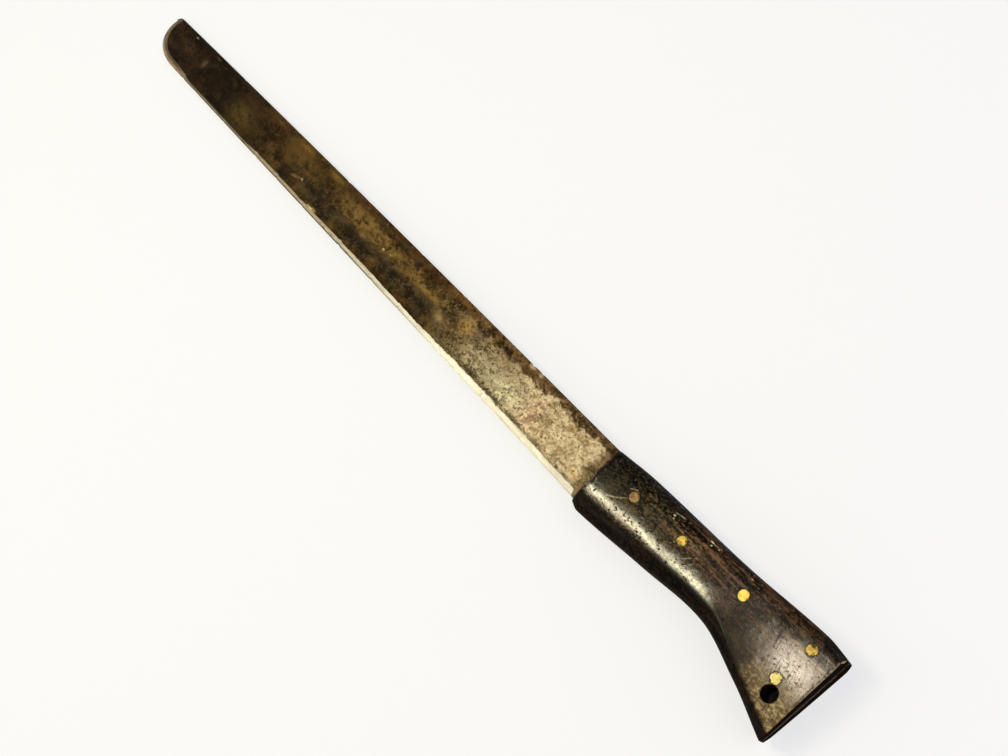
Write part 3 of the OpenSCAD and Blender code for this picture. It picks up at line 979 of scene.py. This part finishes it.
def horn_finish():
    """Dark worn horn: black in front, brown fibres along the back, polished grey-brown cheeks;
    painted shade and highlights.
    """
    p = Paint("dark_horn")
    from_back = p.mark("from_back")
    from_belly = p.mark("from_belly")
    behind = grip_front - p.x
    fibre = p.clouds(2.0, 5, 0.62, (0.07, 1, 1), 11, 0.5)
    thread = p.clouds(0.8, 4, 0.65, (0.06, 1, 1), 12)
    mottle = p.clouds(7, 6, 0.62, (0.6, 1, 1), 13, 0.4)
    blot = p.clouds(2.6, 5, 0.66, (0.6, 1, 1), 14, 0.3)
    grit = p.clouds(1.3, 3, 0.65, (0.7, 1, 1), 15)
    speck = p.clouds(1.0, 2, 0.5, (0.8, 1, 1), 16)
    across = behind + 14 * mottle

    ground = (3, 2, 2), (48, 40, 28)
    below = from_belly + 3.5 * behind.rise(8, 60)
    # Painted sheen: a lighter band along the lower edge of the glossy streak on the grip.
    under = (below + 1.5 * blot).band(8.0, 11.2, 1.2) * (1 - across.rise(40, 56))
    ground = p.pair(ground, (30, 21, 15), (156, 130, 106), 0.85 * under)
    olive = 0.35 * across.rise(2, 14) + 0.65 * across.rise(15, 28)
    olive = olive * (from_back + 6 * mottle).band(6, 19, 3)
    ground = p.pair(ground, (4, 3, 2), (90, 76, 50), olive)
    ground = p.pair(ground, (7, 4, 3), (78, 56, 36), across.rise(36, 60))
    brown = (1 - (from_back + 6 * fibre).rise(4, 9)) * across.rise(32, 56)
    ground = p.pair(ground, (8, 5, 3), (73, 50, 31), 0.9 * brown)
    streaked = across.band(46, 82, 8) * (from_back + 8 * fibre).band(6, 13, 2.5)
    ground = p.pair(ground, (20, 14, 8), (132, 102, 70), 0.75 * streaked)
    # A mauve-brown tone on the front of the cheek, partly a painted sheen.
    mauve_and_sheen = across.band(76, 100, 10) * (from_back + 5 * fibre).band(6, 16, 4)
    ground = p.pair(ground, (16, 11, 9), (98, 74, 62), 0.85 * mauve_and_sheen)
    cheek = across.rise(84, 104) * (from_back + 5 * blot + 4 * fibre).rise(3, 9)
    cheek = cheek * (from_belly + blot).rise(3.0, 5.4)
    ground = p.pair(ground, (20, 14, 10), (102, 83, 64), cheek)
    # Painted highlight: the cheek's colour is lighter where the lamp's reflection falls on it.
    cheek_highlight_tone = cheek * p.spot(-3, -14, 16, 8, 1.2 * mottle, 0.8)
    ground = p.pair(ground, (72, 56, 44), (192, 166, 144), cheek_highlight_tone)
    lower_cheek = cheek * p.spot(-3, 3, 16, 11, 1.2 * mottle, 0.6)
    ground = p.pair(ground, (98, 81, 52), (194, 169, 121), 0.95 * lower_cheek)
    # Painted shadow: a dark patch on the cheek, which no part here casts.
    shadow_patch = cheek * p.spot(18.5, -4.5, 4, 6, 1.2 * mottle, 0.5)
    ground = p.pair(ground, (22, 15, 9), (64, 48, 32), 0.8 * shadow_patch)
    # Painted shade: darker towards the rounded belly side, which turns away from the light, less on
    # the cheek.
    lower = (1 - (from_belly - 3 * (1 - cheek)).rise(3.2, 6.2)) * (1 - 0.6 * cheek)
    ground = p.pair(ground, (5, 3, 2), (40, 26, 13), lower)
    for x, y, long, wide, strength, middle in SCUFFS_AND_SHEEN:
        scuff_and_sheen = strength * p.spot(x, y, long, wide, grit + mottle, 0.7) * p.near
        ground = p.pair(ground, *spread(middle), scuff_and_sheen)
    stringy = across.rise(30, 50) * (1 - from_back.rise(10, 15))
    front = 1 - behind.rise(44, 64)
    weave = 0.7 * mottle + 0.8 * blot + (1.5 + front) * grit + 0.6 * thread
    weave = weave + stringy * (1.3 * fibre + 0.7 * thread)
    colour = p.layer(*ground, weave.rise(-0.4, 0.75))

    pits = (speck + 0.5 * blot + 0.4 * grit).rise(0.26 - 0.08 * front, 0.4 - 0.06 * front)
    colour = p.layer(colour, (15, 10, 6), (0.6 + 0.3 * front) * pits)
    pale = (0 - speck - 0.7 * grit).rise(0.3, 0.46) * from_belly.rise(8, 12)
    colour = p.layer(colour, (180, 166, 132), (0.2 + 0.2 * cheek) * pale)
    hairs = p.clouds(0.6, 3, 0.6, (0.08, 1, 1), 17, turn=1.25) - 0.3 * mottle
    lines = hairs.rise(0.12, 0.28) * cheek
    colour = p.layer(colour, (36, 27, 18), 0.6 * lines)
    hairs_pale = p.clouds(0.55, 3, 0.6, (0.07, 1, 1), 18, turn=0.5) + 0.3 * mottle
    colour = p.layer(colour, (196, 176, 142), 0.35 * hairs_pale.rise(0.28, 0.42) * cheek)

    grime = 0.0
    for node in RIVET_LOOKS:
        (x, y, _), head_r, _ = rivet_facts(node)
        grime = p.spot(x, y, head_r + 0.4, head_r + 0.4, 0.5 * grit, 0.2) + grime
    colour = p.layer(colour, (20, 13, 6), 0.5 * grime)
    for x, y, long, wide, strength, shade in HORN_FLECKS:
        fleck = strength * p.spot(x, y, long, wide, 0.9 * grit, 0.5) * p.near
        colour = p.layer(colour, shade, fleck)
    cuts = 0.0
    for start, end, half in SCRATCHES:
        cuts = p.line(start, end, half, 0.5 * mottle + 0.3 * grit) + cuts
    cuts = cuts * p.near * (0.55 + 2.2 * grit)
    colour = p.layer(colour, (176, 162, 130), 0.85 * cuts)
    round_hole = (p.x * p.x + p.y * p.y) ** 0.5 + 0.5 * grit
    on_face = abs(p.z).rise(half_grip - 0.8, half_grip - 0.3)
    mouth = 0.5 * (1 - round_hole.rise(hole_r + 0.15, hole_r + 0.7)) * on_face
    colour = p.layer(colour, (116, 98, 66), mouth)
    # Painted shade: the walls of the lanyard hole are darkened.
    hole_wall_shade = (1 - round_hole.rise(hole_r + 0.1, hole_r + 0.3)) * (1 - on_face)
    colour = p.layer(colour, (34, 24, 12), 0.85 * hole_wall_shade)
    # A lighter rim at the butt's edge: partly wear, partly a painted highlight.
    butt_rim_wear_and_glint = (behind + 0.6 * grit).rise(grip_length - 1.2, grip_length - 0.7) * on_face
    colour = p.layer(colour, (176, 154, 116), 0.6 * butt_rim_wear_and_glint * (blot + 0.5 * grit).rise(-0.3, 0.2))
    # Painted highlights: bright dashes along the grip's front edge.
    front_rim_glints = 1 - (behind + 0.8 * grit).rise(0.7, 1.6)
    front_rim_glints = front_rim_glints * abs(p.z).rise(half_front - 1.6, half_front - 0.5)
    front_rim_glints = 0.6 * front_rim_glints * (blot + grit).rise(-0.05, 0.3)
    colour = p.layer(colour, (158, 150, 126), front_rim_glints * p.near)

    fine = p.clouds(0.4, 3, 0.6, (0.5, 1, 1), 19)
    height = 0.7 * grit + 0.7 * blot + 0.5 * fine + 0.4 * thread - 0.8 * pits
    height = height - 1.5 * cuts + 0.5 * stringy * fibre
    normal = p.bump(height, 0.07)
    rough = 0.48 + 0.25 * mottle + 0.25 * grit + 0.15 * pits
    above = below + 3 * blot + 1.8 * (1 - behind.rise(10, 24))
    shoulder = below.rise(8, 12) * (1 - above.rise(11.8, 18)) * (1 - behind.rise(64, 80))
    streak = (1 - 0.26 * behind.rise(10, 28) + 0.5 * behind.rise(42, 62)) * shoulder
    sheen = p.spot(-2, -14, 15, 8, 0.8 * mottle, 0.9)
    rubbed = 0.06 * from_back.rise(2, 8) * from_belly.rise(2, 6) + streak + 0.75 * sheen
    gloss = 0.95 - 0.9 * pits - (1.1 + 0.6 * cheek) * grit - 0.8 * blot - 0.7 * lines
    gloss = gloss * (1 - 0.6 * grime) * rubbed
    sockets = {"Base Color": colour, "Roughness": rough, "Normal": normal, "Coat Weight": gloss}
    return p.finish(sockets | {"Specular IOR Level": 0.03, "Coat Roughness": 0.2, "Coat IOR": 1.9})


def end_finish():
    """End of the horn at the butt: dark and unpolished."""
    p = Paint("horn_end")
    rings = p.clouds(1.2, 4, 0.6, (1, 0.5, 1.4), 21)
    glint = p.clouds(2.5, 4, 0.6, (1, 0.4, 2), 22).rise(0.2, 0.45)
    colour = p.layer((14, 9, 5), (34, 24, 14), rings.rise(-0.3, 0.4))
    colour = p.layer(colour, (70, 54, 34), 0.25 * glint)
    sockets = {"Base Color": colour, "Roughness": 0.62 + 0.2 * rings, "Normal": p.bump(rings, 0.12)}
    return p.finish(sockets | {"Specular IOR Level": 0.0})


def brass_finish(node, bright, dull, grime, dark_spot):
    """Brass of one rivet: bright in the middle, tarnished and grimy towards its rim."""
    p = Paint(f"brass_of_{node}")
    (middle_x, middle_y, _), head_r, _ = rivet_facts(node)
    grit = p.clouds(0.5, 4, 0.65, (1, 1, 1), 31)
    lump = p.clouds(1.3, 4, 0.6, (1, 1, 1), 32)
    away = ((p.x - middle_x) ** 2 + (p.y - middle_y) ** 2) ** 0.5 * (1 / head_r)
    colour = p.layer(bright, dull, (1.4 * lump + grit).rise(-0.3, 0.6))
    rim = (away + 0.7 * lump + 0.4 * grit).rise(1 - grime, 1.02)
    colour = p.layer(colour, (40, 28, 13), 0.85 * rim)
    # A darker spot off the head's middle.
    dark = p.spot(middle_x + dark_spot[0], middle_y + dark_spot[1], 1.2, 0.8, 1.2 * lump, 0.4)
    colour = p.layer(colour, (46, 34, 17), dark_spot[2] * dark)
    rough = 0.46 + 0.2 * lump + 0.25 * rim
    sockets = {"Base Color": colour, "Metallic": 0.45 - 0.4 * rim, "Roughness": rough}
    return p.finish(sockets | {"Normal": p.bump(0.7 * grit + lump, 0.1), "Specular IOR Level": 0.2})


def floor_finish(touch_x):
    """Matt white, mostly glowing for what sees it; under the grip and its lanyard hole it carries a
    painted shadow, darker and not glowing.
    """
    p = Paint("pale_floor")
    x = p.x + touch_x
    belly = (8 - 0.28 * x).math("MAXIMUM", -3.5)
    # Painted shadow: under the grip the floor takes a darker colour and no glow.
    under = x.band(-5, 108, 4) * p.y.rise(-27, -23) * (1 - (p.y - belly).rise(-4, 0))
    seen = 0.0
    for ray in ("Is Camera Ray", "Is Glossy Ray", "Is Transmission Ray"):
        seen = p.add("ShaderNodeLightPath", output=ray) + seen
    colour = p.layer((246, 247, 250), (90, 84, 76), under)
    matt = p.add("ShaderNodeBsdfDiffuse", {}, {"Color": colour})
    white = p.add("ShaderNodeEmission", {}, {"Strength": 1.0})
    both = p.add("ShaderNodeMixShader", {}, {0: 0.64 * seen * (1 - under), 1: matt, 2: white})
    p.add("ShaderNodeOutputMaterial", {}, {"Surface": both})
    return p.material


# The pieces, each riding on the one body in place of its CAD node


def dress(piece, node, slot, *materials):
    """Gives a piece its materials and body, and hides its CAD node; slot is not used."""
    for material in materials:
        piece.data.materials.append(material)
    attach(piece, "root")
    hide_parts(node)


def make_machete():
    dress(make_blade(), "blade", "patinated_steel", steel_finish())
    horn, horn_end = horn_finish(), end_finish()
    for label, side in (("near", 1), ("far", -1)):
        scale = make_scale(f"horn_scale_{label}", side)
        dress(scale, f"grip_scale_{label}", "dark_horn", horn, horn_end)
        for face in scale.data.polygons:
            is_end = face.normal.x < -0.85 and face.center.x < 0
            face.material_index = 1 if is_end else 0
    for number, (node, look) in enumerate(RIVET_LOOKS.items()):
        bright, dull, grime, dark_spot, dome, wobble = look
        rivet = make_rivet(node, dome, wobble, number)
        dress(rivet, node, "brass_rivet", brass_finish(node, bright, dull, grime, dark_spot))


# Floor, lights and camera


def make_floor():
    """A pale round floor; it slopes a little, to carry both the thick of the grip and the tip."""
    touch_x = grip_front - thicken_run
    slope = math.atan2(half_grip - nose_half, tip_x - touch_x)
    radius, sides = 3000, 96
    angles = np.arange(sides) * 2 * math.pi / sides
    points = [(radius * math.cos(a), radius * math.sin(a), 0) for a in angles]
    floor = make_object("floor", points, [tuple(range(sides))])
    floor.location = Vector((touch_x, 0, -half_grip)) * MM
    floor.rotation_euler = (0, -slope, 0)
    floor.data.materials.append(floor_finish(touch_x))


def make_world():
    """A pale band round the horizon under a dark ceiling."""
    world = bpy.data.worlds.new("studio")
    bpy.context.scene.world = world
    sky = Nodes(world)
    where = sky.add("ShaderNodeTexCoord", output="Generated")
    up = sky.add("ShaderNodeSeparateXYZ", {}, {0: where}, "Z")
    limits = {"Value": up, "From Min": 0.25, "From Max": 0.6, "To Min": 1.0, "To Max": 0.1}
    fading = sky.add("ShaderNodeMapRange", {"interpolation_type": "SMOOTHSTEP"}, limits)
    light = {"Color": (1, 1, 1, 1), "Strength": fading}
    sky.add("ShaderNodeOutputWorld", {}, {0: sky.add("ShaderNodeBackground", {}, light)})


def softbox(name, place, aim, size, power, colour):
    """An area light that faces aim, its first side level with the blade; metres and watts."""
    data = bpy.data.lights.new(name, "AREA")
    data.shape = "RECTANGLE"
    data.size, data.size_y = size
    data.energy = power
    data.color = colour
    lamp = bpy.data.objects.new(name, data)
    back = (Vector(place) - Vector(aim)).normalized()
    side = (Vector((1, 0, 0)) - back * back.x).normalized()
    turn = Matrix((side, back.cross(side), back)).transposed()
    lamp.matrix_world = Matrix.Translation(place) @ turn.to_4x4()
    bpy.context.scene.collection.objects.link(lamp)


def make_camera():
    """The photograph's view: its aim, distance, direction and turn, fitted to the part."""
    aim = Vector((181.48, -12.53, 0)) * MM
    distance = 0.6609
    azimuth, elevation, roll = [math.radians(angle) for angle in (-89.433, 61.5, -45.324)]
    flat = math.cos(elevation)
    back = Vector((math.sin(azimuth) * flat, -math.cos(azimuth) * flat, math.sin(elevation)))
    data = bpy.data.cameras.new("camera")
    data.sensor_width = 36
    data.lens = 53.57
    data.clip_start = 0.01
    data.clip_end = 20
    camera = bpy.data.objects.new("camera", data)
    camera.rotation_mode = "QUATERNION"
    camera.location = aim + back * distance
    turn = Quaternion((0, 0, 1), roll)
    camera.rotation_quaternion = (-back).to_track_quat("-Z", "Y") @ turn
    bpy.context.scene.collection.objects.link(camera)
    bpy.context.scene.camera = camera


make_machete()
make_floor()
make_world()
softbox("over_cheek", (0.239, -0.013, 1.07), (0, 0, 0), (0.14, 0.13), 1.05, (1, 0.9, 0.7))
softbox("over_grip", (0.55, 0.205, 0.98), (0.085, -0.01, 0), (0.33, 0.28), 4.6, (1, 0.92, 0.6))
softbox("beside_edge", (0.75, 0.64, 0.57), (0.25, 0, 0), (0.6, 0.3), 1.4, (1, 0.97, 0.9))
softbox("fill", (-0.6, -0.45, 0.95), (0.15, 0, 0), (1.0, 1.0), 5.6, (0.98, 0.99, 1.1))
make_camera()
bpy.context.scene.view_settings.view_transform = "Standard"
